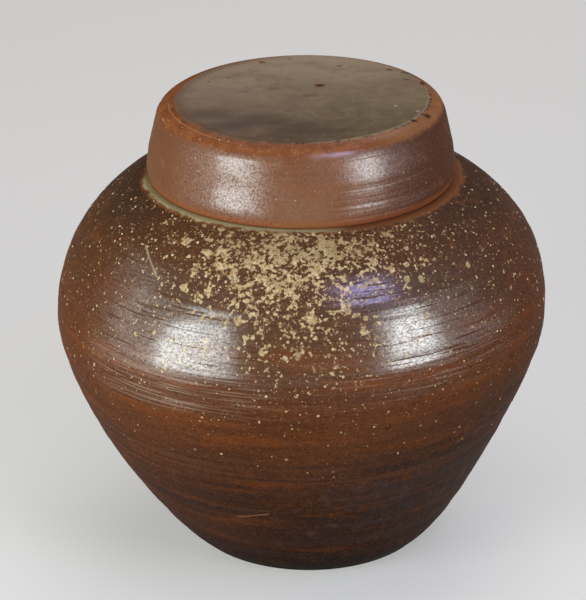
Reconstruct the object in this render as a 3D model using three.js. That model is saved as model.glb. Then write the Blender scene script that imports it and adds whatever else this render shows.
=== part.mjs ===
// A wheel-thrown stoneware jar for keeping tea: a shouldered body with a short neck, an inner lid that
// hangs in the mouth, and a cap lid that drops over the neck and closes on a ledge of the shoulder.
// Millimetres, +Z up. The origin is the centre of the foot, on the surface that the jar stands on.
import * as THREE from 'three';

// Body, outside
const FOOT_RADIUS = 39.5; // the flat ring that it stands on
const FOOT_BEVEL_WIDTH = 1.2;
const FOOT_BEVEL_HEIGHT = 1.4;
const FOOT_FLARE_ANGLE = 38; // degrees above level at which the wall leaves the foot
const FOOT_FLARE_REACH = 15.7; // how far the wall keeps to that angle
const BELLY_RADIUS = 80.5;
const BELLY_HEIGHT = 79.5; // height of the widest place
const BELLY_HOLD_BELOW = 18.4; // how far the wall stays upright below it
const BELLY_HOLD_ABOVE = 26.8; // and above it
const SHOULDER_ANGLE = 27; // degrees below level at which the shoulder leaves the ledge
const SHOULDER_REACH = 14.5;

// Body, walls
const WALL = 5.6; // from the belly up
const WALL_AT_FOOT = 8.5;
const FLOOR_THICKNESS = 7.5;
const FLOOR_ROUND = 9; // between the floor and the wall, inside
const FOOT_RING_WIDTH = 9; // the flat part of the foot, round a shallow hollow
const FOOT_HOLLOW_DEPTH = 1;
const FOOT_HOLLOW_SLOPE = 1.5;

// Neck and the ledge that the cap lid closes on
const LEDGE_HEIGHT = 126.1;
const LEDGE_MARGIN = 1.7; // what shows of the ledge outside the cap lid
const LEDGE_EDGE_ROUND = 1.6;
const LEDGE_THICKNESS = 6;
const NECK_RADIUS = 44;
const NECK_WALL = 4.5;
const NECK_HEIGHT = 13; // above the ledge
const NECK_FOOT_ROUND = 1;
const NECK_LIP_ROUND = 1.6;
const MOUTH_UNDER_ROUND = 4; // where the mouth opens into the shoulder
const MOUTH_UNDER_CLEAR = 1; // the inside of the wall starts this far below the ledge's underside

// Fits
const SEAT_GAP = 0.3; // between a lid and what it rests on
const CAP_PLAY = 0.9; // all round, between the neck and the cap lid
const INNER_LID_PLAY = 0.7; // all round, between the mouth and the inner lid

// Inner lid: a flange on the lip, a dish that hangs in the mouth, and a knob in the dish
const FLANGE_SETBACK = 0.8; // the flange stops this far inside the outside of the neck
const FLANGE_THICKNESS = 3;
const FLANGE_UNDER_ROUND = 0.7;
const FLANGE_TOP_ROUND = 1;
const DISH_DEPTH = 8;
const DISH_WALL = 3.2;
const DISH_FLOOR = 3;
const DISH_TAPER = 1.2;
const DISH_ROUND = 4;
const DISH_EDGE_ROUND = 1;
const KNOB_RADIUS = 7.5;
const KNOB_WAIST_RADIUS = 5;
const KNOB_FOOT_ROUND = 1;
const KNOB_HEAD_HEIGHT = 5.5;
const KNOB_EDGE_ROUND = 1.4;
const KNOB_CROWN_SETBACK = 2.3; // the top of the knob is this much narrower than its edge
const KNOB_CROWN_ROUND = 2.7;
const KNOB_PROUD = 1.5; // how far the knob stands above the flange

// Cap lid: a skirt that swells above the rim and draws in upwards, a trimmed band, and a flat pared top
const SKIRT_WALL = 5.1; // at its widest
const SKIRT_WIDEST = 3.9; // height of the widest place above the rim
const SKIRT_RIM_TUCK = 0.5; // how far the rim draws in below the widest place
const SKIRT_TUCK_HOLD = 1.5; // how far below the widest place the skirt stays upright
const SKIRT_HOLD = 3; // and above it
const SKIRT_HEIGHT = 20.5; // from the rim to the rounding under the band
const SKIRT_TAPER = 3.3; // how much narrower the skirt is there
const BAND_SETBACK = 5.1; // outer corner of the band, inside the widest place
const BAND_DROP = 1.8; // and below the top
const BAND_WIDTH = 4.4;
const BAND_ROUND = 1.9;
const TOP_EDGE_ROUND = 0.4;
const TOP_DISH = 0.25; // how far the middle of the top lies below its edge
const CAP_HEADROOM = 4; // between the flange of the inner lid and the ceiling
const CAP_TOP_THICKNESS = 5.3;
const CAP_CEILING_ROUND = 3;
const CAP_RIM_ROUND = 1;

// Fineness
const FACETS = 48;
const WALL_STEPS = 11; // on each of the two curves of the body wall
const SKIRT_STEPS = 5; // on each of the two curves of the skirt
const ROUND_STEPS = 3;
const ROUND_ROOM = 0.48; // share of a side that the rounding of a corner may take up

// Heights and radii that follow from the sizes above
const footEdge = new THREE.Vector2(FOOT_RADIUS + FOOT_BEVEL_WIDTH, FOOT_BEVEL_HEIGHT);
const capRadius = NECK_RADIUS + CAP_PLAY + SKIRT_WALL; // at the widest place of the skirt
const ledgeEdge = new THREE.Vector2(capRadius + LEDGE_MARGIN, LEDGE_HEIGHT);
const mouthRadius = NECK_RADIUS - NECK_WALL;
const lipHeight = LEDGE_HEIGHT + NECK_HEIGHT;
const flangeBottom = lipHeight + SEAT_GAP;
const flangeTop = flangeBottom + FLANGE_THICKNESS;
const capRimHeight = LEDGE_HEIGHT + SEAT_GAP;
const ceilingHeight = flangeTop + CAP_HEADROOM;
const topHeight = ceilingHeight + CAP_TOP_THICKNESS;

const point = (r, z) => new THREE.Vector2(r, z);

// A step of a given length at an angle in degrees above level, outwards being 0.
function towards(from, angle, length) {
  const turn = THREE.MathUtils.degToRad(angle);
  return point(from.x + length * Math.cos(turn), from.y + length * Math.sin(turn));
}

// A profile through corners, each [radius, height, rounding], with the rounded ones replaced by short
// curves. A rounding is limited to what its two sides have room for.
function rounded(corners) {
  const profile = [];
  corners.forEach(([r, z, rounding = 0], i) => {
    const corner = point(r, z);
    if (!rounding) {
      profile.push(corner);
      return;
    }
    const before = point(...corners[i - 1]).sub(corner);
    const after = point(...corners[i + 1]).sub(corner);
    const halfAngle = before.angleTo(after) / 2;
    const room = ROUND_ROOM * Math.min(before.length(), after.length());
    const reach = Math.min(rounding / Math.tan(halfAngle), room);
    const start = before.setLength(reach).add(corner);
    const end = after.setLength(reach).add(corner);
    profile.push(...new THREE.QuadraticBezierCurve(start, corner, end).getPoints(ROUND_STEPS));
  });
  return profile;
}

// A turned solid from a profile that starts and ends on the axis.
function turned(name, profile, material) {
  const geometry = new THREE.LatheGeometry(profile, FACETS);
  geometry.rotateX(Math.PI / 2);
  const mesh = new THREE.Mesh(geometry, material);
  mesh.name = name;
  return mesh;
}

// The outside of the body wall, from the foot through the belly to the edge of the ledge.
const lowerWall = new THREE.CubicBezierCurve(
  footEdge,
  towards(footEdge, FOOT_FLARE_ANGLE, FOOT_FLARE_REACH),
  point(BELLY_RADIUS, BELLY_HEIGHT - BELLY_HOLD_BELOW),
  point(BELLY_RADIUS, BELLY_HEIGHT),
);
const upperWall = new THREE.CubicBezierCurve(
  point(BELLY_RADIUS, BELLY_HEIGHT),
  point(BELLY_RADIUS, BELLY_HEIGHT + BELLY_HOLD_ABOVE),
  towards(ledgeEdge, -SHOULDER_ANGLE, SHOULDER_REACH),
  ledgeEdge,
);

// The thickness of the wall behind a place on its outside at this height.
function wallThickness(height) {
  const share = THREE.MathUtils.clamp(height / BELLY_HEIGHT, 0, 1);
  return THREE.MathUtils.lerp(WALL_AT_FOOT, WALL, share);
}

// The inside of the wall: places on the outside, moved inwards by the thickness.
function insideOf(curve) {
  const places = [];
  for (let i = 0; i <= WALL_STEPS; i++) {
    const outside = curve.getPoint(i / WALL_STEPS);
    const along = curve.getTangent(i / WALL_STEPS);
    const inwards = point(-along.y, along.x);
    places.push(outside.clone().addScaledVector(inwards, wallThickness(outside.y)));
  }
  return places;
}

function jarBody(material) {
  const underLedge = LEDGE_HEIGHT - LEDGE_THICKNESS;
  const hollowEdge = FOOT_RADIUS - FOOT_RING_WIDTH;
  const foot = rounded([
    [0, FOOT_HOLLOW_DEPTH],
    [hollowEdge - FOOT_HOLLOW_SLOPE, FOOT_HOLLOW_DEPTH],
    [hollowEdge, 0],
    [FOOT_RADIUS, 0],
  ]);
  const outside = [
    ...lowerWall.getPoints(WALL_STEPS),
    ...upperWall.getPoints(WALL_STEPS).slice(1, -1),
  ];
  const shoulder = outside.at(-1);
  const neck = rounded([
    [shoulder.x, shoulder.y],
    [ledgeEdge.x, ledgeEdge.y, LEDGE_EDGE_ROUND],
    [NECK_RADIUS, LEDGE_HEIGHT, NECK_FOOT_ROUND],
    [NECK_RADIUS, lipHeight, NECK_LIP_ROUND],
    [mouthRadius, lipHeight, NECK_LIP_ROUND],
    [mouthRadius, underLedge, MOUTH_UNDER_ROUND],
    [ledgeEdge.x, underLedge],
  ]).slice(1, -1);
  const insideTop = underLedge - MOUTH_UNDER_CLEAR;
  const insideBottom = FLOOR_THICKNESS + FLOOR_ROUND / 2;
  const inside = [...insideOf(lowerWall), ...insideOf(upperWall).slice(1)].reverse()
    .filter((place) => place.y < insideTop && place.y > insideBottom);
  const lowest = inside.at(-1);
  const floor = rounded([
    [lowest.x, lowest.y],
    [lowest.x - (lowest.y - FLOOR_THICKNESS), FLOOR_THICKNESS, FLOOR_ROUND],
    [0, FLOOR_THICKNESS],
  ]).slice(1);
  return turned('jar_body', [...foot, ...outside, ...neck, ...inside, ...floor], material);
}

function innerLid(material) {
  const plugRadius = mouthRadius - INNER_LID_PLAY;
  const plugFoot = plugRadius - DISH_TAPER;
  const flangeRadius = NECK_RADIUS - FLANGE_SETBACK;
  const dishBottom = flangeBottom - DISH_DEPTH;
  const dishFloor = dishBottom + DISH_FLOOR;
  const knobTop = flangeTop + KNOB_PROUD;
  const knobNeck = knobTop - KNOB_HEAD_HEIGHT;
  const profile = rounded([
    [0, dishBottom],
    [plugFoot, dishBottom, DISH_ROUND],
    [plugRadius, flangeBottom],
    [flangeRadius, flangeBottom, FLANGE_UNDER_ROUND],
    [flangeRadius, flangeTop, FLANGE_TOP_ROUND],
    [plugRadius - DISH_WALL, flangeTop, DISH_EDGE_ROUND],
    [plugFoot - DISH_WALL, dishFloor, DISH_ROUND],
    [KNOB_WAIST_RADIUS, dishFloor, KNOB_FOOT_ROUND],
    [KNOB_WAIST_RADIUS, knobNeck, KNOB_FOOT_ROUND],
    [KNOB_RADIUS, knobNeck + KNOB_HEAD_HEIGHT / 2, KNOB_EDGE_ROUND],
    [KNOB_RADIUS - KNOB_CROWN_SETBACK, knobTop, KNOB_CROWN_ROUND],
    [0, knobTop],
  ]);
  return turned('inner_lid', profile, material);
}

function outerLid(material) {
  const bore = NECK_RADIUS + CAP_PLAY;
  const widest = point(capRadius, capRimHeight + SKIRT_WIDEST);
  const rimEdge = point(capRadius - SKIRT_RIM_TUCK, capRimHeight);
  const skirtTop = point(capRadius - SKIRT_TAPER, capRimHeight + SKIRT_HEIGHT);
  const bandEdge = point(capRadius - BAND_SETBACK, topHeight - BAND_DROP);
  const rim = rounded([
    [0, ceilingHeight],
    [bore, ceilingHeight, CAP_CEILING_ROUND],
    [bore, capRimHeight, CAP_RIM_ROUND],
    [rimEdge.x, rimEdge.y, CAP_RIM_ROUND],
    [widest.x, widest.y - SKIRT_TUCK_HOLD],
  ]).slice(0, -1);
  const lowSkirt = new THREE.QuadraticBezierCurve(
    rim.at(-1),
    point(widest.x, widest.y - SKIRT_TUCK_HOLD),
    widest,
  );
  const highSkirt = new THREE.QuadraticBezierCurve(
    widest,
    point(widest.x, widest.y + SKIRT_HOLD),
    skirtTop,
  );
  const top = rounded([
    [skirtTop.x, skirtTop.y],
    [bandEdge.x, bandEdge.y, BAND_ROUND],
    [bandEdge.x - BAND_WIDTH, topHeight, TOP_EDGE_ROUND],
    [0, topHeight - TOP_DISH],
  ]);
  const skirt = [
    ...lowSkirt.getPoints(SKIRT_STEPS).slice(1),
    ...highSkirt.getPoints(SKIRT_STEPS).slice(1, -1),
  ];
  return turned('outer_lid', [...rim, ...skirt, ...top], material);
}

// Fired clay: brown-red where the fire reached it, paler and drier inside
const firedClay = new THREE.MeshStandardMaterial({ color: 0x7a4430, roughness: 0.45, metalness: 0 });
const lidClay = new THREE.MeshStandardMaterial({ color: 0x8a5038, roughness: 0.45, metalness: 0 });
const dryClay = new THREE.MeshStandardMaterial({ color: 0x8d6a52, roughness: 0.75, metalness: 0 });

const jar = new THREE.Group();
jar.add(jarBody(firedClay), innerLid(dryClay), outerLid(lidClay));

export default jar;
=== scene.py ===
# %% [markdown]
# # A wood-fired jar for keeping tea
#
# The real object is three pieces of fired clay: a round-shouldered body thrown on a wheel, an inner lid that
# hangs in its mouth, and a cap lid that closes over the neck. It has no glaze. The kiln's flame turned the
# clay brown and orange, and wood ash that fell on the shoulder melted into straw-coloured flecks.
#
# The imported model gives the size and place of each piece. Everything here is made round it.

# %% The frame
import math
from functools import reduce
from statistics import NormalDist

import bpy
import numpy as np
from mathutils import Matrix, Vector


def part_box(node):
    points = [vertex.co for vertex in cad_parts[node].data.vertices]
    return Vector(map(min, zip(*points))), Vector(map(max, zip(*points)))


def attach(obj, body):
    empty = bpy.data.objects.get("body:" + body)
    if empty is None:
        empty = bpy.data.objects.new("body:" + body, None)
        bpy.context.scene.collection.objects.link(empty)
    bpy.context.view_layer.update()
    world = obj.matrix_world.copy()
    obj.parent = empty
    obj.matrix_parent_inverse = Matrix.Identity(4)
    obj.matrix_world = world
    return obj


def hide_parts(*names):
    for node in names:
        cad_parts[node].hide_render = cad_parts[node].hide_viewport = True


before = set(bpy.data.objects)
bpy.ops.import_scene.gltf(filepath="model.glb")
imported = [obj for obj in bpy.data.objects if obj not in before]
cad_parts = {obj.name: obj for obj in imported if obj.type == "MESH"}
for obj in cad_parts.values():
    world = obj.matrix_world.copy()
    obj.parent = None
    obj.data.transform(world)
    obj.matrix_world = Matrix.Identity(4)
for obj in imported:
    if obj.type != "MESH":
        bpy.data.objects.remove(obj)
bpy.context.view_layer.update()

MM = 0.001

# %% [markdown]
# ## The camera
#
# The photograph was taken with a long lens from above the shoulder. The lens, the distance and the height
# were found by fitting a camera to the outline of the jar. The jar stands a little right of the middle of
# the picture, so the lens is shifted by that much.

# %% The camera
PICTURE_HEIGHT = 600
FOCAL_LENGTH = 2800 / PICTURE_HEIGHT  # in picture heights
SENSOR = 36
CAMERA_DISTANCE = 0.929
CAMERA_ELEVATION = math.radians(23.97)
CAMERA_AIM = 80.4 * MM  # height of the point that the camera looks at
JAR_OFF_CENTRE = 11  # pixels


def put_in_scene(name, data):
    """A new object in the scene, made of this mesh, lamp or camera."""
    made = bpy.data.objects.new(name, data)
    bpy.context.scene.collection.objects.link(made)
    return made


camera = put_in_scene("camera", bpy.data.cameras.new("camera"))
camera.data.sensor_fit = "VERTICAL"
camera.data.sensor_height = SENSOR
camera.data.lens = FOCAL_LENGTH * SENSOR
camera.data.shift_x = -JAR_OFF_CENTRE / PICTURE_HEIGHT
camera.data.clip_end = 50
camera.location = (
    0,
    -CAMERA_DISTANCE * math.cos(CAMERA_ELEVATION),
    CAMERA_AIM + CAMERA_DISTANCE * math.sin(CAMERA_ELEVATION),
)
camera.rotation_euler = (math.pi / 2 - CAMERA_ELEVATION, 0, 0)
bpy.context.scene.camera = camera
print("camera at", [round(x, 3) for x in camera.location], "lens", camera.data.lens)

# %% [markdown]
# ## Writing node trees as sums
#
# Materials and Geometry Nodes are both trees of nodes. Laid out by hand a tree is hard to read, so a small
# class wraps one socket and turns +, -, * and / into Math nodes. Any other node comes from one method,
# which sets the node's own settings first and then fills its sockets with numbers or links.

# %% A class for one socket of a tree
def fill(inputs, **sockets):
    """Fills sockets with numbers or links. They are named by their place, as in s0, or by their name."""
    for name, value in sockets.items():
        place = int(name[1:]) if name[1:].isdigit() else name.replace("_", " ")
        if isinstance(value, Wire):
            value.tree.links.new(value.socket, inputs[place])
        else:
            inputs[place].default_value = value


class Wire:
    """One socket of a node tree, of a material or of Geometry Nodes."""

    def __init__(self, tree, socket=None):
        self.tree = tree
        self.socket = socket

    def node(self, kind, settings=None, output=0, **sockets):
        """A node of this type, with its settings made and its sockets filled."""
        made = self.tree.nodes.new(kind)
        for name, value in (settings or {}).items():
            setattr(made, name, value)
        fill(made.inputs, **sockets)
        return Wire(self.tree, made.outputs[output])

    def beside(self, output):
        """Another output of the same node."""
        return Wire(self.tree, self.socket.node.outputs[output])

    def maths(self, operation, first, second=0.0):
        return self.node("ShaderNodeMath", {"operation": operation}, s0=first, s1=second)

    def __add__(self, other):
        return self.maths("ADD", self, other)

    def __radd__(self, other):
        return self.maths("ADD", other, self)

    def __sub__(self, other):
        return self.maths("SUBTRACT", self, other)

    def __rsub__(self, other):
        return self.maths("SUBTRACT", other, self)

    def __mul__(self, other):
        return self.maths("MULTIPLY", self, other)

    def __rmul__(self, other):
        return self.maths("MULTIPLY", other, self)

    def __truediv__(self, other):
        return self.maths("DIVIDE", self, other)

    def __pow__(self, other):
        return self.maths("POWER", self, other)

    def sine(self):
        return self.maths("SINE", self)

    def greater(self, other):
        """The greater of the two numbers."""
        return self.maths("MAXIMUM", self, other)

    def length_with(self, other):
        """The length of the hypotenuse over this and another number."""
        return self.maths("SQRT", self * self + other * other)

    def rise(self, low, high):
        """0 below low and 1 above high, smoothly."""
        smooth = {"interpolation_type": "SMOOTHSTEP"}
        return self.node("ShaderNodeMapRange", smooth, Value=self, From_Min=low, From_Max=high)

    def fade(self, low, high):
        """1 below low and 0 above high, smoothly."""
        return 1 - self.rise(low, high)

    def between(self, start, full, still_full, end):
        """0 outside start and end, and 1 from full to still_full, smoothly."""
        return self.rise(start, full) * self.fade(still_full, end)

    def parts(self):
        """The three numbers of this vector."""
        first = self.node("ShaderNodeSeparateXYZ", Vector=self)
        return first, first.beside(1), first.beside(2)

    def vector(self, operation, other):
        """Vector Math with this vector and another."""
        return self.node("ShaderNodeVectorMath", {"operation": operation}, s0=self, s1=other)

    def times(self, number):
        """This vector, made longer by a number."""
        return self.node("ShaderNodeVectorMath", {"operation": "SCALE"}, Vector=self, Scale=number)


def waver(turn, first_phase, second_phase):
    """How a line pressed on the wheel wanders up and down as the pot turns. It meets itself at the back."""
    return (turn + first_phase).sine() * 0.22 + (turn * 2 + second_phase).sine() * 0.12


# %% [markdown]
# ## Trees for Geometry Nodes
#
# Two things on this jar follow its surface: the marks that fingers left on the turning clay, and the ash
# that settled on it. Each is a tree of Geometry Nodes with named inputs, so that one tree serves several
# pieces. A tree runs on a piece through a modifier, whose inputs are set by their identifiers. The result
# is taken as a plain mesh and the modifier comes off again, because the pieces are handed over without one.

# %% Helpers that make a tree and run it
def new_tree(name, **inputs):
    """A tree with a geometry going in, and these inputs, each named with its type."""
    tree = bpy.data.node_groups.new(name, "GeometryNodeTree")
    tree.interface.new_socket("Geometry", in_out="OUTPUT", socket_type="NodeSocketGeometry")
    tree.interface.new_socket("Geometry", in_out="INPUT", socket_type="NodeSocketGeometry")
    for label, kind in inputs.items():
        tree.interface.new_socket(label, in_out="INPUT", socket_type="NodeSocket" + kind)
    source = tree.nodes.new("NodeGroupInput")
    return tree, {socket.name: Wire(tree, socket) for socket in source.outputs if socket.name}


def end_tree(geometry, finish):
    """Ends a tree: real geometry with this material."""
    real = geometry.node("GeometryNodeRealizeInstances", Geometry=geometry)
    done = real.node("GeometryNodeSetMaterial", Geometry=real, Material=finish)
    exit_node = geometry.tree.nodes.new("NodeGroupOutput")
    geometry.tree.links.new(done.socket, exit_node.inputs[0])


def run_tree(tree, piece, name, **values):
    """The mesh that the tree makes from a piece, under a new name."""
    modifier = piece.modifiers.new(tree.name, "NODES")
    modifier.node_group = tree
    for item in tree.interface.items_tree:
        if item.in_out == "INPUT" and item.name in values:
            modifier[item.identifier] = values[item.name]
    graph = bpy.context.evaluated_depsgraph_get()
    mesh = bpy.data.meshes.new_from_object(
        piece.evaluated_get(graph), preserve_all_data_layers=True, depsgraph=graph
    )
    piece.modifiers.remove(modifier)
    mesh.name = name
    return mesh


def store(mesh, name, values):
    """Keeps one number for each vertex under this name."""
    layer = mesh.attributes.new(name, "FLOAT", "POINT")
    layer.data.foreach_set("value", np.asarray(values, np.float32).ravel())


def read_places(mesh):
    """The vertices of a mesh, as rows of x, y and z."""
    places = np.empty(len(mesh.vertices) * 3, np.float32)
    mesh.vertices.foreach_get("co", places)
    return places.reshape(-1, 3)


def turn_and_reach(places):
    """How far round to the right each place lies, from the front, and how far from the axis."""
    return np.arctan2(places[:, 0], -places[:, 1]), np.hypot(places[:, 0], places[:, 1])


# %% [markdown]
# ## Outlines for turning
#
# A pot is a profile turned round an axis. A profile here is a list of places, each a radius and a height.
# Long sweeps are Bezier curves and corners are rounded, so that a profile needs only the few points that the
# shape needs. Each stretch is then cut into even steps, because marks are pressed into the rows later and
# uneven rows would show.

# %% Helpers for outlines
def bezier(*holds, steps=120):
    """Places along a Bezier curve through its first and last hold, pulled towards those between."""
    t = np.linspace(0, 1, steps)[:, None]
    lines = [np.array(hold, float) for hold in holds]
    while len(lines) > 1:
        lines = [a * (1 - t) + b * t for a, b in zip(lines, lines[1:])]
    return lines[0]


def rounded(*corners):
    """Places through corners, each (radius, height) or (radius, height, rounding)."""
    places = []
    for i, corner in enumerate(corners):
        here = np.array(corner[:2], float)
        if len(corner) == 2:
            places.append(here[None])
            continue
        before = np.array(corners[i - 1][:2], float) - here
        after = np.array(corners[i + 1][:2], float) - here
        lengths = np.linalg.norm(before), np.linalg.norm(after)
        half_angle = math.acos(np.clip(before @ after / (lengths[0] * lengths[1]), -1, 1)) / 2
        reach = min(corner[2] / math.tan(half_angle), 0.49 * min(lengths))
        first = here + before / lengths[0] * reach
        last = here + after / lengths[1] * reach
        places.append(bezier(first, here, last, steps=9))
    return np.concatenate(places)


def towards(start, degrees, length):
    """The place at this length from start, at this angle above level, outwards being 0."""
    turn = math.radians(degrees)
    return (start[0] + length * math.cos(turn), start[1] + length * math.sin(turn))


def even_steps(places, step):
    """The same line, cut into even steps of about this length."""
    spans = np.linalg.norm(np.diff(places, axis=0), axis=1)
    along = np.concatenate([[0], np.cumsum(spans)])
    count = max(2, round(along[-1] / step) + 1)
    wanted = np.linspace(0, along[-1], count)
    return np.stack([np.interp(wanted, along, places[:, k]) for k in (0, 1)], axis=1)


# %% [markdown]
# ## Turning a profile
#
# Blender has a Screw modifier and a Spin tool for turned shapes. Here the vertices are worked out directly,
# because each one also keeps three numbers that the trees and the materials read: its true radius, how far
# along the profile it lies, and how deep the wheel's marks go there. The first and last places of a profile
# lie on the axis, and each becomes a single vertex, so that the solid is closed at both poles.
#
# No hand-thrown pot stands quite true, so each height is also pushed a hair off the axis.

# %% A helper that turns a profile into a mesh
AROUND = 240
MARK_FADE = 4 * MM  # marks fade out over this length at both ends of a stretch
LEAN_HEIGHTS = np.array([0, 8, 20, 35, 50, 65, 81, 95, 108, 118, 127, 152]) * MM
LEAN_OFFSETS = np.array([1.7, 1.1, 0.1, -1.0, -1.5, -1.4, -0.9, -0.3, 0.1, -0.1, -1.0, -0.9]) * MM


def lean(height):
    """How far the pot stands off its axis at this height."""
    shifted = [np.interp(height + shift * MM, LEAN_HEIGHTS, LEAN_OFFSETS) for shift in range(-2, 3)]
    return np.mean(shifted, axis=0)


def turned(name, *stretches):
    """A closed turned mesh from stretches, each (line, step, depth of marks at its start, at its end)."""
    profile, depths = [], []
    for i, (line, step, first_depth, last_depth) in enumerate(stretches):
        rows = even_steps(line, step)
        share = np.linspace(0, 1, len(rows))
        length = step * len(rows)
        fade = np.clip(np.minimum(share, 1 - share) * length / MARK_FADE, 0, 1)
        keep = slice(None) if i == len(stretches) - 1 else slice(-1)
        profile.append(rows[keep])
        depths.append((fade * np.interp(share, [0, 1], [first_depth, last_depth]))[keep])
    profile, depths = np.concatenate(profile), np.concatenate(depths)
    depths[[0, -1]] = 0

    turns = np.arange(AROUND) * 2 * math.pi / AROUND  # 0 is the front, and it grows to the right
    middle = slice(1, -1)
    radius, height = profile[middle, 0, None], profile[middle, 1, None]
    x = radius * np.sin(turns) + lean(height)
    y = -radius * np.cos(turns)
    grid = np.stack([x, y, np.broadcast_to(height, x.shape)], axis=2).reshape(-1, 3)
    poles = [(float(lean(profile[k, 1])), 0, profile[k, 1]) for k in (0, -1)]
    vertices = np.concatenate([poles[:1], grid, poles[1:]])

    row = np.arange(len(profile) - 2)[:, None] * AROUND + 1
    here = row + np.arange(AROUND)
    beside = row + (np.arange(AROUND) + 1) % AROUND
    quads = np.stack([here[:-1], beside[:-1], beside[1:], here[1:]], axis=2).reshape(-1, 4)
    last = len(vertices) - 1
    caps = [(0, b, a) for a, b in zip(here[0], beside[0])]
    caps += [(last, a, b) for a, b in zip(here[-1], beside[-1])]
    mesh = bpy.data.meshes.new(name)
    mesh.from_pydata(vertices.tolist(), [], quads.tolist() + caps)
    mesh.shade_smooth()

    steps = np.linalg.norm(np.diff(profile, axis=0, prepend=profile[:1]), axis=1)
    for label, values in (("radius", profile[:, 0]), ("along", np.cumsum(steps)), ("mark_depth", depths)):
        store(mesh, label, np.concatenate([values[:1], np.repeat(values[middle], AROUND), values[-1:]]))
    print(name, "has", 2 * len(quads) + len(caps), "triangles")
    return put_in_scene(name, mesh)


# %% [markdown]
# ## The marks of the wheel
#
# Fingers and ribs leave shallow rings in soft clay. Their spacing is steady but their depth isn't, and they
# wander a little as the pot turns. A one-dimensional noise, read off along the profile, gives that: it is
# the same all the way round, apart from the wander, so each ring closes on itself and no seam shows. The
# tree presses three sizes of ring into the clay along its own normal, and a slow unevenness with them.

# %% A tree that presses wheel marks
wheel_marks, given = new_tree(
    "wheel_marks", Spacing="Float", Unevenness="Float", Seed="Float", Finish="Material"
)
clay = given["Geometry"]
place = clay.node("GeometryNodeInputPosition")
x, y, _ = place.parts()
turn = x.maths("ARCTAN2", x, 0 - y)
seed = given["Seed"]
RING_SIZES = ((1, 1), (0.44, 0.4), (0.25, 0.18))  # shares of the spacing, and of the depth


def attribute_of(piece, name):
    """A number that each vertex of the piece keeps."""
    return piece.node("GeometryNodeInputNamedAttribute", {"data_type": "FLOAT"}, Name=name)


rings = None
for spacing_share, depth_share in RING_SIZES:
    reading = attribute_of(clay, "along") / (given["Spacing"] * spacing_share) + waver(turn, seed, seed * 2)
    reading = reading + seed * 10
    depth = clay.node("ShaderNodeTexNoise", {"noise_dimensions": "1D"}, W=reading, Scale=1.0, Detail=0.0)
    ring = (depth - 0.5) * (2 * depth_share)
    rings = ring if rings is None else rings + ring
DENT_SIZE = 38 * MM
dents = clay.node("ShaderNodeTexNoise", Vector=place, Scale=1 / DENT_SIZE, Detail=1.0)
depth_here = attribute_of(clay, "mark_depth")
has_marks = depth_here.rise(0.0, 0.02 * MM)
rise_by = rings * depth_here + (dents - 0.5) * given["Unevenness"] * has_marks
normal = clay.node("GeometryNodeInputNormal")
pressed = clay.node("GeometryNodeSetPosition", Geometry=clay, Offset=normal.times(rise_by))
end_tree(pressed, given["Finish"])


def press_marks(piece, spacing, unevenness, seed, finish):
    """Presses wheel marks into a piece."""
    plain_mesh = piece.data
    values = {"Spacing": spacing, "Unevenness": unevenness, "Seed": seed, "Finish": finish}
    piece.data = run_tree(wheel_marks, piece, piece.name, **values)
    bpy.data.meshes.remove(plain_mesh)


# %% [markdown]
# ## Five finishes
#
# A tree gives its piece a material while it makes the mesh, so the materials have to exist before the pieces
# do. They are empty until their own trees are drawn further down.

# %% The finishes, still empty
body_clay, cap_clay, inner_clay, ash_crust, white_grit = (
    bpy.data.materials.new(name)
    for name in ("fired_body_clay", "fired_cap_clay", "dry_inner_clay", "melted_ash", "white_grit")
)

# %% [markdown]
# ## The jar body
#
# The outline starts at the middle of the foot, runs round the foot ring, up through the belly and over the
# shoulder to the level ledge, up the neck, and down the inside to the floor. The wall curves are the same
# Bezier curves as in the solid model, each drawn by its two ends and a pull from either end. Outside, the
# marks are deepest round the belly, and inside, where nobody smoothed them, they are deeper still.

# %% Sizes of the jar body
_, jar_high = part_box("jar_body")
cap_low, cap_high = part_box("outer_lid")
plug_low, plug_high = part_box("inner_lid")

SEAT_GAP = 0.3 * MM
BELLY = (jar_high.x, 79.5 * MM)
LIP_HEIGHT = jar_high.z
LEDGE_SHOWN = 1.7 * MM  # how far the ledge stands out beyond the cap
LEDGE = (cap_high.x + LEDGE_SHOWN, cap_low.z - SEAT_GAP)
NECK_RADIUS = 44 * MM
MOUTH_RADIUS = 39.5 * MM
FOOT_EDGE = (40.7 * MM, 1.4 * MM)
FOOT_RADIUS = 39.5 * MM
FOOT_RING = 9 * MM
FOOT_SLOPE, LEDGE_SLOPE = 38, -27  # degrees above level, going outwards
FOOT_PULL, LOW_BELLY_PULL, HIGH_BELLY_PULL, LEDGE_PULL = 15.7 * MM, 18.4 * MM, 26.8 * MM, 14.5 * MM
WALL_BELOW, WALL = 8.5 * MM, 5.6 * MM
FLOOR_THICKNESS = 7.5 * MM
print("belly", [v / MM for v in BELLY], "ledge", [v / MM for v in LEDGE], "lip", LIP_HEIGHT / MM)

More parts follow.
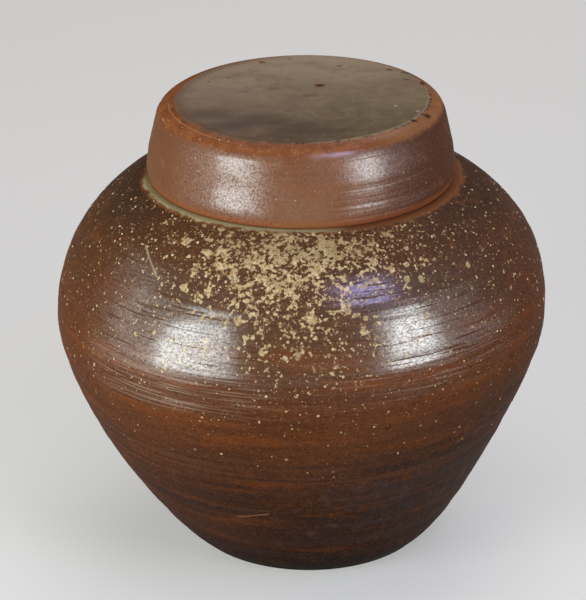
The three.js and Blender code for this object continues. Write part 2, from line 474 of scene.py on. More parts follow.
# %% The outline of the jar body
foot_line = rounded(
    (0, 1.0 * MM),
    (FOOT_RADIUS - FOOT_RING - 1.5 * MM, 1.0 * MM, 1.0 * MM),
    (FOOT_RADIUS - FOOT_RING, 0, 0.6 * MM),
    (FOOT_RADIUS, 0, 0.9 * MM),
    FOOT_EDGE,
)
above_foot = towards(FOOT_EDGE, FOOT_SLOPE, FOOT_PULL)
below_belly = towards(BELLY, -90, LOW_BELLY_PULL)
above_belly = towards(BELLY, 90, HIGH_BELLY_PULL)
before_ledge = towards(LEDGE, LEDGE_SLOPE, LEDGE_PULL)
lower_wall = bezier(FOOT_EDGE, above_foot, below_belly, BELLY)
upper_wall = bezier(BELLY, above_belly, before_ledge, LEDGE)
UNDER_LEDGE = LEDGE[1] - 6 * MM
REDRAWN = 8  # the last places of the wall, where the rounded edge of the ledge takes over
neck_line = rounded(
    tuple(upper_wall[-REDRAWN]),
    (*LEDGE, 1.6 * MM),
    (NECK_RADIUS, LEDGE[1], 1.2 * MM),
    (NECK_RADIUS, LIP_HEIGHT, 1.7 * MM),
    (MOUTH_RADIUS, LIP_HEIGHT, 1.7 * MM),
    (MOUTH_RADIUS, UNDER_LEDGE, 4 * MM),
    (LEDGE[0], UNDER_LEDGE - 1 * MM),
)
whole_wall = np.concatenate([lower_wall, upper_wall[1:]])
thickness = np.interp(whole_wall[:, 1], [0, BELLY[1]], [WALL_BELOW, WALL])
tangent = np.gradient(whole_wall, axis=0)
tangent /= np.linalg.norm(tangent, axis=1)[:, None]
inside = whole_wall + np.stack([-tangent[:, 1], tangent[:, 0]], axis=1) * thickness[:, None]
keep = (inside[:, 1] < UNDER_LEDGE - 1.5 * MM) & (inside[:, 1] > FLOOR_THICKNESS + 4.5 * MM)
inside = np.concatenate([neck_line[-2:-1], inside[keep][::-1]])
lowest = inside[-1]
floor_line = rounded(
    tuple(lowest),
    (lowest[0] - (lowest[1] - FLOOR_THICKNESS), FLOOR_THICKNESS, 9 * MM),
    (0, FLOOR_THICKNESS),
)

# %% The mesh of the jar body
jar_shell = turned(
    "jar_shell",
    (foot_line, 1.2 * MM, 0, 0),
    (lower_wall, 0.6 * MM, 0.12 * MM, 0.16 * MM),
    (upper_wall[:1 - REDRAWN], 0.6 * MM, 0.16 * MM, 0.05 * MM),
    (neck_line[:-1], 0.6 * MM, 0, 0),
    (inside, 3 * MM, 0.7 * MM, 0.7 * MM),
    (floor_line, 4 * MM, 0, 0),
)
press_marks(jar_shell, spacing=5.2 * MM, unevenness=0.5 * MM, seed=11.0, finish=body_clay)

# %% [markdown]
# ## The cap lid
#
# The skirt is widest a little above its rim and tapers upwards, then rolls over into a trimmed band. Inside
# the band is the flat disc that was pared with a tool while the lid stood upside down. The top isn't quite
# level: it leans to the left by a degree. The underside is hollow.

# %% The outline of the cap lid
CAP_RADIUS, CAP_TOP = cap_high.x, cap_high.z
CAP_RIM = cap_low.z - 0.2 * MM  # the real lid closes on the ledge with hardly a gap to be seen
CAP_BORE = 44.9 * MM
CEILING = CAP_TOP - 5.3 * MM
WIDEST = (CAP_RADIUS, cap_low.z + 3.9 * MM)
SKIRT_TOP = (CAP_RADIUS - 3.3 * MM, cap_low.z + 20.5 * MM)
DISC_RADIUS = CAP_RADIUS - 9.5 * MM
TILT_RIGHT, TILT_BACK = 0.016, 0.006

underside_line = rounded(
    (0, CEILING),
    (CAP_BORE, CEILING, 3 * MM),
    (CAP_BORE, CAP_RIM, 0.7 * MM),
    (CAP_RADIUS - 0.5 * MM, CAP_RIM, 0.8 * MM),
    (CAP_RADIUS - 0.3 * MM, CAP_RIM + 1.2 * MM),
)
skirt_line = np.concatenate([
    bezier(tuple(underside_line[-1]), (CAP_RADIUS, WIDEST[1] - 1.5 * MM), WIDEST, steps=20),
    bezier(WIDEST, (CAP_RADIUS, WIDEST[1] + 3 * MM), SKIRT_TOP)[1:],
])
band_line = bezier(
    SKIRT_TOP,
    (CAP_RADIUS - 4.5 * MM, CAP_TOP - 1.8 * MM),
    (CAP_RADIUS - 6.1 * MM, CAP_TOP - 0.8 * MM),
    (DISC_RADIUS + 0.9 * MM, CAP_TOP - 0.25 * MM),
)
disc_line = rounded(
    tuple(band_line[-1]),
    (DISC_RADIUS + 0.4 * MM, CAP_TOP - 0.25 * MM, 0.2 * MM),
    (DISC_RADIUS, CAP_TOP + 0.05 * MM, 0.25 * MM),
    (DISC_RADIUS - 1.2 * MM, CAP_TOP - 0.05 * MM),
)

# %% The mesh of the cap lid
cap_shell = turned(
    "cap_shell",
    (underside_line, 1.2 * MM, 0, 0),
    (skirt_line, 0.4 * MM, 0.08 * MM, 0.10 * MM),
    (band_line, 0.3 * MM, 0.06 * MM, 0),
    (disc_line, 0.2 * MM, 0, 0),
    (np.array([disc_line[-1], (0, CAP_TOP - 0.25 * MM)]), 0.6 * MM, 0.03 * MM, 0.03 * MM),
)
leaning = read_places(cap_shell.data)
near_top = np.clip((leaning[:, 2] - CEILING) / (CAP_TOP - CEILING), 0, 1)
leaning[:, 2] += (TILT_RIGHT * leaning[:, 0] + TILT_BACK * leaning[:, 1]) * near_top
cap_shell.data.vertices.foreach_set("co", leaning.ravel())
cap_shell.data.update()
press_marks(cap_shell, spacing=3.2 * MM, unevenness=0.25 * MM, seed=21.0, finish=cap_clay)

# %% [markdown]
# ## The inner lid
#
# It keeps the air from the tea. A flange hangs on the lip of the neck, a shallow dish hangs in the mouth,
# and a small knob in the dish is low enough for the cap to close over it.

# %% The mesh of the inner lid
PLUG_RADIUS = MOUTH_RADIUS - 0.7 * MM
PLUG_FOOT = PLUG_RADIUS - 1.2 * MM
FLANGE_BOTTOM = LIP_HEIGHT + SEAT_GAP
FLANGE_TOP = FLANGE_BOTTOM + 3 * MM
DISH_FLOOR = plug_low.z + 3 * MM
DISH_WALL = 3.2 * MM
KNOB_TOP = plug_high.z
KNOB_WAIST, KNOB_RADIUS = 5 * MM, 7.5 * MM
under_plug = rounded(
    (0, plug_low.z),
    (PLUG_FOOT, plug_low.z, 4 * MM),
    (PLUG_RADIUS, FLANGE_BOTTOM, 0.5 * MM),
    (plug_high.x, FLANGE_BOTTOM, 0.75 * MM),
    (plug_high.x, FLANGE_TOP, 1 * MM),
    (PLUG_RADIUS - DISH_WALL, FLANGE_TOP),
)
over_plug = rounded(
    (PLUG_RADIUS - DISH_WALL, FLANGE_TOP),
    (PLUG_FOOT - DISH_WALL, DISH_FLOOR, 4 * MM),
    (KNOB_WAIST, DISH_FLOOR, 1 * MM),
    (KNOB_WAIST, KNOB_TOP - 5.5 * MM, 1 * MM),
    (KNOB_RADIUS, KNOB_TOP - 2.75 * MM, 1.4 * MM),
    (KNOB_RADIUS * 0.7, KNOB_TOP, 2.75 * MM),
    (0, KNOB_TOP),
)
plug_shell = turned("plug_shell", (under_plug, 0.7 * MM, 0, 0), (over_plug, 0.5 * MM, 0.12 * MM, 0.06 * MM))
press_marks(plug_shell, spacing=2.8 * MM, unevenness=0.2 * MM, seed=31.0, finish=inner_clay)

# %% [markdown]
# ## Where the ash fell
#
# The ash rode in on the flame from the front of the kiln. It lies thickest under the cap at the front, thins
# out towards the belly and the sides, and hardly reaches the back. That is a rule of place, so it is worked
# out once for each vertex and stored in attributes that the material and the scattered crumbs both read.
#
# A noise lies above a bar over a certain share of the surface. For the cover that is wanted at a vertex, the
# bell curve gives that bar, in units of the noise's own spread.

# %% The cover of ash over the jar body
ASH_HEIGHTS = np.array([50, 62, 74, 84, 92, 100, 108, 116, 122, 126]) * MM
ASH_COVER = [0, 0.01, 0.03, 0.09, 0.20, 0.30, 0.38, 0.50, 0.66, 0.50]
DUST_COVER = [0.03, 0.16, 0.36, 0.60, 0.80, 0.95, 1.0, 1.0, 1.0, 0.5]
ASH_CENTRE_LOW, ASH_CENTRE_HIGH = math.radians(-12), math.radians(-2)
ASH_CORE = math.radians(21)
ASH_SPREAD = math.radians(44)
DUST_SPREAD = math.radians(66)
CORE_SHARE = 0.60


def bell(away, spread):
    """1 in the middle of a bell curve, and less further away."""
    return np.exp(-0.5 * (away / spread) ** 2)


places = read_places(jar_shell.data)
height = places[:, 2]
turn, reach = turn_and_reach(places)
ash_centre = np.interp(height, [ASH_HEIGHTS[0], ASH_HEIGHTS[-1]], [ASH_CENTRE_LOW, ASH_CENTRE_HIGH])
from_centre = np.angle(np.exp(1j * (turn - ash_centre)))
core = bell(from_centre, ASH_CORE)
outside = (reach > CAP_RADIUS + 0.3 * MM) & (height > ASH_HEIGHTS[0])
thick = CORE_SHARE * core + (1 - CORE_SHARE) * bell(from_centre, ASH_SPREAD)
cover = outside * np.interp(height, ASH_HEIGHTS, ASH_COVER) * thick
dust = outside * np.interp(height, ASH_HEIGHTS, DUST_COVER) * bell(from_centre, DUST_SPREAD)

# %% The bar for each cover
cover_steps = np.linspace(0, 1, 201)
LEAST_COVER, MOST_COVER = 0.0002, 0.995  # the bell curve has no bar for none at all or for all of it
bars = [NormalDist().inv_cdf(1 - min(max(c, LEAST_COVER), MOST_COVER)) for c in cover_steps]
store(jar_shell.data, "ash_bar", np.interp(cover, cover_steps, bars))
store(jar_shell.data, "ash_dust", dust)
store(jar_shell.data, "ash_core", core * outside)
print("share of the shoulder under ash:", round(float(cover[outside].mean()), 3))

# %% [markdown]
# ## Crumbs of ash
#
# Melted ash stands above the clay in beads and crumbs, and they catch the light one by one. The same tree
# scatters the crumbs on the shoulder and the white grit on the cap. It puts points on the faces where an
# attribute allows them, sets a small flattened ball of a random size on each, turned to lie on the surface,
# and then pushes the balls out of shape with a noise. A ball has only 24 triangles, so that thousands of
# them stay cheap.

# %% A tree that scatters crumbs
sizes = {"Smallest": "Float", "Largest": "Float", "Flatness": "Float"}
crumb_fall, given = new_tree("crumb_fall", Density="Float", **sizes, Seed="Int", Finish="Material")
ground = given["Geometry"]
points = ground.node(
    "GeometryNodeDistributePointsOnFaces",
    Mesh=ground,
    Density=attribute_of(ground, "fall") * given["Density"],
    Seed=given["Seed"],
)
ball = ground.node("GeometryNodeMeshUVSphere", Segments=6, Rings=3, Radius=1.0)


def chance(low, high, seed):
    """A random number for each point."""
    return ground.node("FunctionNodeRandomValue", {"data_type": "FLOAT"}, output=1, s2=low, s3=high, s8=seed)


size = given["Smallest"] + (given["Largest"] - given["Smallest"]) * chance(0.0, 1.0, 1) ** 3.0
stretch = ground.node("ShaderNodeCombineXYZ", X=1.0, Y=chance(0.55, 1.0, 2), Z=given["Flatness"])
FULL_TURN = 6.28
spin = ground.node("ShaderNodeCombineXYZ", X=0.0, Y=0.0, Z=chance(0.0, FULL_TURN, 3))
spin = ground.node("FunctionNodeEulerToRotation", Euler=spin)
facing = ground.node(
    "FunctionNodeRotateRotation", {"rotation_space": "LOCAL"}, Rotation=points.beside(2), Rotate_By=spin
)
crumbs = ground.node(
    "GeometryNodeInstanceOnPoints", Points=points, Instance=ball, Rotation=facing, Scale=stretch.times(size)
)
crumbs = ground.node("GeometryNodeRealizeInstances", Geometry=crumbs)
place = ground.node("GeometryNodeInputPosition")
LUMP_SIZE = 0.8 * MM
LUMPINESS = 1.2  # how far the noise pushes, for a crumb of the smallest size
rough = ground.node("ShaderNodeTexNoise", output=1, Vector=place, Scale=1 / LUMP_SIZE, Detail=0.0)
crumbs = ground.node(
    "GeometryNodeSetPosition",
    Geometry=crumbs,
    Offset=rough.vector("SUBTRACT", (0.5, 0.5, 0.5)).times(given["Smallest"] * LUMPINESS),
)
crumbs = ground.node("GeometryNodeSetShadeSmooth", Geometry=crumbs)
end_tree(crumbs, given["Finish"])


def scatter(name, piece, fall, **values):
    """Crumbs on a piece, thickest where fall is 1, as an object of their own."""
    store(piece.data, "fall", fall)
    mesh = run_tree(crumb_fall, piece, name, **values)
    piece.data.attributes.remove(piece.data.attributes["fall"])
    print(name, "has", len(mesh.polygons), "faces")
    return put_in_scene(name, mesh)


# %% The crumbs on the shoulder and the grit on the cap
clear_of_cap = reach > CAP_RADIUS + 1.8 * MM
ash_crumbs = scatter(
    "ash_crumbs",
    jar_shell,
    (0.4 * dust + 0.6 * np.minimum(cover * 2, 1)) * clear_of_cap,
    Density=0.34 / MM**2,
    Smallest=0.15 * MM,
    Largest=0.60 * MM,
    Flatness=0.4,
    Seed=5,
    Finish=ash_crust,
)
on_cap = read_places(cap_shell.data)
turn, reach = turn_and_reach(on_cap)
GRIT_CENTRE, GRIT_SPREAD, GRIT_END = math.radians(-45), math.radians(24), math.radians(115)
outer_part = (reach > CAP_RADIUS - 7 * MM) & (on_cap[:, 2] > CAP_RIM + 6 * MM) & (np.abs(turn) < GRIT_END)
upper_left = bell(turn - GRIT_CENTRE, GRIT_SPREAD) * (on_cap[:, 2] > CAP_TOP - 6 * MM)
cap_grit = scatter(
    "cap_grit",
    cap_shell,
    outer_part * (0.10 + 0.90 * upper_left),
    Density=0.22 / MM**2,
    Smallest=0.10 * MM,
    Largest=0.36 * MM,
    Flatness=0.5,
    Seed=8,
    Finish=white_grit,
)

# %% [markdown]
# ## Drawing colours
#
# The materials draw with object coordinates and with the numbers that the vertices keep. A colour is written
# as a screen shows it, and turned into the units that Blender's sockets want. A finish is built up in coats
# over a ground, and each coat comes with the share of the surface that it takes.

# %% Helpers for colours
def colour(red, green, blue):
    """A colour as a screen shows it, from 0 to 255, in the units that Blender's sockets want."""
    parts = [c / 255 for c in (red, green, blue)]
    return (*[p / 12.92 if p <= 0.04045 else ((p + 0.055) / 1.055) ** 2.4 for p in parts], 1.0)


def paint(ground, share, tone):
    """The ground with this tone over a share of it. Each is a wire, or a colour as a screen shows it."""
    ground, tone = [c if isinstance(c, Wire) else colour(*c) for c in (ground, tone)]
    return share.node("ShaderNodeMix", {"data_type": "RGBA"}, output=2, s0=share, s6=ground, s7=tone)


def layers(ground, *coats):
    """The ground under these coats, from the first to the last, each a share and a tone."""
    for share, tone in coats:
        ground = paint(ground, share, tone)
    return ground


# %% Helpers for places, noises and lines
def open_tree(material):
    """Object coordinates, in the tree of a material."""
    material.use_nodes = True
    return Wire(material.node_tree).node("ShaderNodeTexCoord", output=3)


def bearings(place):
    """x, y and z, the distance from the axis, and how far a place faces right and front, from -1 to 1."""
    x, y, z = place.parts()
    radius = x.length_with(y)
    return x, y, z, radius, x / radius, 0 - y / radius


def rightward(x, y, degrees):
    """How far right of the axis a place lies, for an eye that has moved this far round to the right."""
    turn = math.radians(degrees)
    return x * math.cos(turn) + y * math.sin(turn)


def kept(place, name):
    """A number that each vertex keeps, for a material."""
    return place.node("ShaderNodeAttribute", {"attribute_name": name}, output=2)


def noise(place, size, detail=2.0, roughness=0.5, squash=(1, 1, 1)):
    """Noise with features of about this size in metres, made this many times shorter along each axis."""
    place = place.vector("MULTIPLY", squash)
    return place.node("ShaderNodeTexNoise", Vector=place, Scale=1 / size, Detail=detail, Roughness=roughness)


def cells(place, size):
    """Distance from the middle of the nearest cell in cell sizes, and two random numbers of that cell."""
    distance = place.node("ShaderNodeTexVoronoi", Vector=place, Scale=1 / size)
    first, second, _ = distance.beside(1).parts()
    return distance, first, second


def on_line(across, inner, outer):
    """1 within inner of a line and 0 beyond outer, where across is the distance from the line."""
    return (across ** 2).fade(inner ** 2, outer ** 2)


# %% Helpers that feed a shader
def feed(material, **values):
    """Fills sockets of the material's shader, named as in Base_Color."""
    fill(material.node_tree.nodes["Principled BSDF"].inputs, **values)
    print(material.name, "has", len(material.node_tree.nodes), "nodes")


SKIN_INDEX = 2.4  # bends light more than window glass, so that so thin a skin shines enough


def finish_clay(clay, ground, roughness, relief, skin=None, haze=0.0):
    """Feeds a clay's shader. skin is how far the flame has sealed the clay, and haze is its roughness."""
    coat = {} if skin is None else {"Coat_Weight": skin, "Coat_IOR": SKIN_INDEX, "Coat_Roughness": haze}
    bump = relief.node("ShaderNodeBump", Strength=1.0, Distance=0.5 * MM, Height=relief)
    feed(clay, Base_Color=ground, Roughness=roughness, Normal=bump, Specular_IOR_Level=0.04, **coat)


# %% [markdown]
# ## The fired clay of the body
#
# Unglazed stoneware from a wood kiln has a thin skin that the flame has sealed, with a soft gloss that
# breaks up over the sandy grain. Its colour runs from orange where the flame passed to dark umber on the
# shoulder, and level streaks follow the wheel marks lower down. One large image could hold all this, but a
# few noises stay sharp from near by and need no unwrapping. A streak is a noise that is squashed upright.

# %% Places and noises on the body
place = open_tree(body_clay)
x, y, z, radius, sideways, frontness = bearings(place)
ash_bar, ash_dust, ash_core = (kept(place, name) for name in ("ash_bar", "ash_dust", "ash_core"))
broad = noise(place, 34 * MM)
mottle = noise(place, 5 * MM, detail=3, roughness=0.6)
grain = noise(place, 0.9 * MM, roughness=0.7, squash=(1, 1, 1.8))
bands = noise(place, 46 * MM, roughness=0.55, squash=(1, 1, 8)) + (mottle - 0.5) * 0.4
lines = noise(place, 70 * MM, detail=1, squash=(1, 1, 34)) + (mottle - 0.5) * 0.3
uneven = (bands - 0.5) * 0.03

# %% The body's broad colours
left_edge = sideways.fade(-0.9, -0.3)
# painted shade: the right side is painted darker, as the weaker light from the right would leave it
right_side_shade = sideways.rise(0.1, 0.8)
shoulder = (z + (broad - 0.5) * 0.03).rise(0.086, 0.112)
below = 1 - shoulder
under_ash = ash_core * z.rise(0.078, 0.098)
round_the_sides = (z + (broad - 0.5) * 0.02).rise(0.112, 0.122) * frontness.fade(0.3, 0.9)
# partly the lower wall's own browner tone, partly painted shade: darker towards the foot and to the right,
# where the light falls off
low_wall_shade = (z + uneven).fade(0.024, 0.078)
umber = paint((88, 55, 33), sideways.rise(0.0, 0.6) * 0.8, (84, 57, 45))
low_shade_tone = paint((70, 39, 26), sideways.rise(-0.45, 0.15), (47, 29, 21))
fired = layers(
    paint((99, 56, 33), broad.rise(0.35, 0.65), (113, 66, 40)),
    (left_edge * 0.6, (98, 54, 29)),
    (right_side_shade * 0.5, (88, 54, 34)),
    (shoulder * 0.9, umber),
    (under_ash * 0.8, (93, 64, 46)),
    (round_the_sides * 0.7, (62, 46, 34)),
    (low_wall_shade * 0.85, low_shade_tone),
)

# %% Streaks, patches and grain
cool_bands = bands.rise(0.47, 0.66) * z.fade(0.048, 0.074) * (0.55 + sideways * 0.35)
warm_bands = bands.fade(0.32, 0.48) * below
streaked = z.between(0.024, 0.034, 0.050, 0.068) * 0.5 + below * 0.1
dark_lines = lines.rise(0.50, 0.68) * streaked
pale_lines = lines.fade(0.34, 0.46) * streaked
blue_patch = z.between(0.018, 0.028, 0.045, 0.055) * (sideways + (mottle - 0.5)).rise(-0.1, 0.6)
blue_patch = blue_patch * mottle.rise(0.3, 0.6)
# painted shade: the foot is painted nearly black, as if in shade
painted_foot_shade = (z + uneven * 0.3).fade(0.003, 0.018)
# painted shade: the lower right of the wall is painted darker still
right_wall_shade = sideways.rise(0.3, 0.9) * z.fade(0.060, 0.090)
distance, luck, bulk = cells(place, 8 * MM)
pits = (distance - bulk * 0.08).fade(0.02, 0.12) * (0.6 - luck).rise(0.0, 0.1) * below
rusty_spots = mottle.rise(0.52, 0.72)
dark_grains = grain.fade(0.30, 0.46)
pale_grains = grain.rise(0.56, 0.70)
fired = layers(
    fired,
    (cool_bands, (66, 50, 44)),
    (warm_bands * 0.6, (132, 70, 32)),
    (dark_lines, (50, 38, 35)),
    (pale_lines * 0.7, (116, 72, 48)),
    (blue_patch * 0.4, (72, 66, 66)),
    (painted_foot_shade * 0.92, (18, 9, 5)),
    (right_wall_shade * 0.6, (50, 33, 24)),
    (pits * 0.5, (42, 29, 24)),
    (rusty_spots * 0.25, (142, 82, 48)),
    (dark_grains * 0.5, (50, 32, 24)),
    (pale_grains * 0.35, (168, 112, 74)),
)

# %% [markdown]
# ## The ash on the body
#
# Ash that fell thickly melted into ragged islands, and a thin fall left single flecks. The islands lie where
# two noises together stand above the bar that each vertex keeps. The flecks are the middles of random cells
# of three sizes, and a cell has one where its luck is below the share that is wanted there. The largest
# clumps and drops are placed one by one, because the eye knows this jar by them. The ash is dry and paler
# than the clay and stands above it, so one mask drives its colour, its roughness and its height.

# %% A patch at a chosen place
fine_islands = noise(place, 1.3 * MM)
wide_islands = noise(place, 3.6 * MM, detail=4, roughness=0.65)


def blot(angle, height, width, tall, roughness=0.5, soft=0.2):
    """1 in a patch of the wall this far round to the right, at this height and of this size in mm."""
    away = rightward(x, y, angle).length_with((z - height * MM) * (width / tall))
    reach = width / 2 * MM
    ragged = away + (mottle + fine_islands - 1.0) * (reach * roughness)
    return ragged.fade(reach * (1 - soft), reach) * frontness.rise(0.2, 0.4)


# %% Islands of melted ash
CLUMPS = (
    (-24.2, 117.7, 6.6, 3.4), (-31.7, 111.1, 6.4, 3.2), (-27.0, 110.2, 4.5, 3.0), (-30.4, 116.5, 4.0, 4.6),
    (-19.0, 116.1, 5.0, 4.0), (-15.8, 104.8, 4.6, 4.8), (-38.2, 121.5, 5.0, 3.0), (-9.2, 97.2, 4.0, 4.0),
    (9.9, 108.1, 5.4, 3.2), (1.9, 106.4, 4.2, 4.2),
)
VIOLET_TINT_AND_SHEEN = (18, 113, 36, 16)
NOISE_SPREAD = 0.107  # turns the units of the bar into those of the two noises
clumps = reduce(Wire.greater, [blot(*clump, roughness=0.8, soft=0.7) for clump in CLUMPS])
melt = fine_islands * 0.5 + wide_islands * 0.5 - ash_bar * NOISE_SPREAD - 0.5 + clumps * 0.12
round_islands = melt.rise(-0.07, 0.0)
# partly the clay's purplish tone, partly a painted violet sheen where the cool lamp's reflection falls
violet_tint_and_sheen = blot(*VIOLET_TINT_AND_SHEEN, soft=0.8)
fired = layers(
    fired,
    (round_islands * 0.45, (128, 88, 54)),
    (violet_tint_and_sheen * 0.5, (90, 64, 66)),
)

# %% Flecks of three sizes
SMALLEST = 0.07  # a fleck's least radius, and the width of its soft edge, in cell sizes
shift = place.node("ShaderNodeTexNoise", output=1, Vector=place, Scale=1 / (0.9 * MM), Detail=3)
wobbly = place.vector("ADD", shift.vector("SUBTRACT", (0.5, 0.5, 0.5)).times(1.6 * MM))
drift = noise(place, 7 * MM, detail=3).rise(0.36, 0.62)
few = ash_dust * (ash_core * 0.5 + drift * 0.14) * z.rise(0.082, 0.095)
many = ash_dust * (0.14 + drift * 0.46)
ash = melt.rise(-0.008, 0.020)
for cell_size, share, largest in ((3.1, few, 0.34), (1.8, many * 0.9, 0.30), (0.95, many * 0.7, 0.28)):
    distance, luck, bulk = cells(wobbly, cell_size * MM)
    fleck = (distance - (bulk ** 2.0 * (largest - SMALLEST) + SMALLEST)).fade(0.0, SMALLEST)
    ash = ash.greater(fleck * (share - luck).rise(0.0, 0.04) * (0.4 + bulk * 0.6))

# %% The colour of the ash
DROPS = ((27.8, 114.1, 2.2, 1.9, 0.2), (48.0, 112.9, 2.0, 1.8, 0.2), (31.8, 113.4, 1.9, 2.2, 0.4))
pale_beads = noise(place, 0.8 * MM, detail=1).rise(0.55, 0.66)
dark_gaps = noise(place, 0.9 * MM, detail=1).fade(0.36, 0.46)
by_the_ledge = (z + (mottle - 0.5) * 0.004).rise(0.1190, 0.1225)
straw = layers(
    paint((178, 146, 104), noise(place, 2.6 * MM).rise(0.38, 0.62), (214, 184, 136)),
    (pale_beads * 0.7, (232, 214, 178)),
    (dark_gaps * 0.6, (112, 80, 50)),
    (by_the_ledge * 0.5, (158, 136, 92)),
)
drops = reduce(Wire.greater, [blot(*drop) for drop in DROPS])
ground = layers(fired, (ash, straw), (drops * 0.9, (190, 168, 120)))

# %% [markdown]
# ## Two thin marks on the body
#
# A fine pale line slants down the left of the shoulder, and a scratch lies low on the front. Both are finer
# than the mesh, so they are drawn in the colour, as what lies close to a slanting line.

# %% The pale line and the scratch
LINE_ANGLE, LINE_HEIGHT, LINE_SLOPE = -45.2, 114.6 * MM, 1.9
SCRATCH = (-15, 32.0, 13.0, 10.0)
SCRATCH_SLOPE = 0.30
across = rightward(x, y, LINE_ANGLE) + (z - LINE_HEIGHT) * LINE_SLOPE + (mottle - 0.5) * 0.0016
pale_line = on_line(across, 0.35 * MM, 0.75 * MM) * on_line(z - LINE_HEIGHT, 2.8 * MM, 3.1 * MM)
pale_line = pale_line * frontness.rise(0.2, 0.4)
across = z - SCRATCH[1] * MM - rightward(x, y, SCRATCH[0]) * SCRATCH_SLOPE + (mottle - 0.5) * 0.0008
scratch = on_line(across, 0.15 * MM, 0.5 * MM) * blot(*SCRATCH, roughness=0.2)
ground = layers(ground, (pale_line * 0.85, (168, 138, 102)), (scratch * 0.8, (168, 108, 74)))

# %% [markdown]
# ## The ledge round the cap
#
# The ledge wears a brown crust all the way round, and olive ash has gathered on it at the left. The crust's
# edge is the true radius with a little noise on it. The neck that the cap hides stayed pale and dry.

# %% The crust on the ledge and the dry neck
ledge_end = LEDGE[0] - 0.2 * MM
reach = radius + (mottle - 0.5) * 0.004
in_front = frontness.rise(-0.1, 0.25)
left_half = (0 - sideways).rise(0.1, 0.8) * in_front
crust = radius.rise(0.0465, 0.0475) * z.rise(0.1220, 0.1234)
crust = crust * (reach - left_half * 0.0016).fade(ledge_end, ledge_end + 1.0 * MM)
olive = crust * (reach - left_half * 0.0014).fade(ledge_end - 0.5 * MM, ledge_end + 0.3 * MM)
olive_side = (0.35 - sideways + (broad - 0.5) * 0.6).rise(0.0, 0.35) * in_front
hidden = radius.fade(0.0455, 0.0475) * z.rise(0.118, 0.122)
ground = layers(
    ground,
    (crust * 0.85, (134, 84, 50)),
    (olive * olive_side * 0.9, (186, 178, 130)),
    (hidden, (168, 116, 82)),
)

# %% [markdown]
# ## The gloss and the relief of the body
#
# The sealed skin is a coat over the clay, as a varnish would be. Its weight is what changes from place to
# place: it breaks up over the grain and the fine scores, is gone where ash lies, and begins above a level
# that tilts a little, as the flame reached the wall. The fine relief is too small for the mesh, so it goes
# through a Bump node.

# %% The finish of the body's surface
FLAME_TILT = 0.064  # how much higher the sealed part begins, for each step to the right
striae = noise(place, 50 * MM, detail=3, roughness=0.7, squash=(1, 1, 60))
hairlines = noise(place, 24 * MM, squash=(1, 1, 34))
scores = hairlines.fade(0.34, 0.41)
# painted highlight: thin pale ring lines below the left reflection, where wheel ridges would catch the light
painted_ring_glints = hairlines.rise(0.52, 0.60) * z.between(0.071, 0.078, 0.088, 0.094)
painted_ring_glints = painted_ring_glints * (0 - sideways).rise(0.0, 0.4) * frontness.rise(0.45, 0.75)
ground = paint(ground, painted_ring_glints * 0.36, (180, 152, 130))
dull = (ash * 0.7).greater(hidden).greater(crust).greater(ash_core ** 3.0 * 0.8)
level = z - x * FLAME_TILT + (striae - 0.5) * 0.012
trace = level.rise(0.075, 0.080) * (0.16 - sideways * 0.14 + hairlines.rise(0.58, 0.64) * 0.5)
sealed = level.rise(0.0855, 0.0885).greater(trace) * z.fade(0.113, 0.119)
skin = (0.42 + grain.rise(0.40, 0.60) * 0.58) * (1 - dull) * (1 - scores * 0.9)
skin = skin * (0.01 + sealed * 0.99) * frontness.rise(0.45, 0.85)
relief = grain * 0.42 + striae * (0.30 - z.rise(0.104, 0.109) * 0.22) - scores * 0.20 + ash * 0.30
relief = relief + noise(place, 1.8 * MM) * 0.20 + noise(place, 0.5 * MM, detail=1) * 0.14
finish_clay(body_clay, ground, 0.60 + ash * 0.2, relief, skin, haze=0.22)

# %% [markdown]
# ## The clay of the cap
#
# The cap stood in the flame, so its skirt is the most orange part of the jar, and the band above it is
# warmer still. A thin raised line runs along the left of the band, and here it is only a painted highlight.

# %% The cap's skirt and band
place = open_tree(cap_clay)
x, y, z, radius, sideways, frontness = bearings(place)
broad = noise(place, 30 * MM)
mottle = noise(place, 4 * MM, detail=3, roughness=0.6)
grain = noise(place, 0.6 * MM, roughness=0.7)
lines = noise(place, 60 * MM, detail=3, roughness=0.6, squash=(1, 1, 30)) + (mottle - 0.5) * 0.25

RIDGE_HIGHLIGHT_RADIUS = 43.6 * MM
greyed = (mottle + broad - 0.5).rise(0.45, 0.65) * (0.3 - sideways).rise(0.0, 0.5)
left_edge = sideways.fade(-0.95, -0.45)
# painted shade: the cap's right side is painted darker, as the weaker light from the right would leave it
right_side_shade = sideways.rise(0.2, 0.8)
streaks = lines.rise(0.54, 0.70)
rim = z.fade(0.1272, 0.1295)
band = (z - sideways * 0.0007 + (mottle - 0.5) * 0.0010).rise(0.1478, 0.1496)
band_tone = paint((134, 75, 38), mottle.rise(0.4, 0.6), (152, 90, 49))
band_tone = paint(band_tone, sideways.rise(0.3, 0.8) * 0.6, (164, 116, 78))
# painted highlight: a pale line along the raised line at the left of the band, where it catches the light
left_front = (0 - sideways).rise(0.4, 0.75) * frontness.rise(0.0, 0.1) * z.rise(0.1492, 0.1498)
painted_ridge_highlight = on_line(radius - RIDGE_HIGHLIGHT_RADIUS + (mottle - 0.5) * 0.0012, 0.10 * MM, 0.34 * MM) * left_front
skirt = layers(
    paint((124, 75, 47), broad.rise(0.35, 0.65), (136, 89, 61)),
    (greyed * 0.3, (128, 104, 80)),
    (left_edge * 0.7, (122, 79, 53)),
    (right_side_shade * 0.85, (80, 49, 37)),
    (streaks * 0.3, (104, 64, 50)),
    (rim * 0.5, (168, 92, 50)),
    (band * 0.85, band_tone),
    (mottle.rise(0.55, 0.75) * 0.2, (176, 116, 78)),
    (painted_ridge_highlight * 0.55, (196, 132, 90)),
    (grain.fade(0.30, 0.42) * 0.35, (70, 42, 32)),
    (grain.rise(0.62, 0.72) * 0.3, (190, 140, 104)),
)
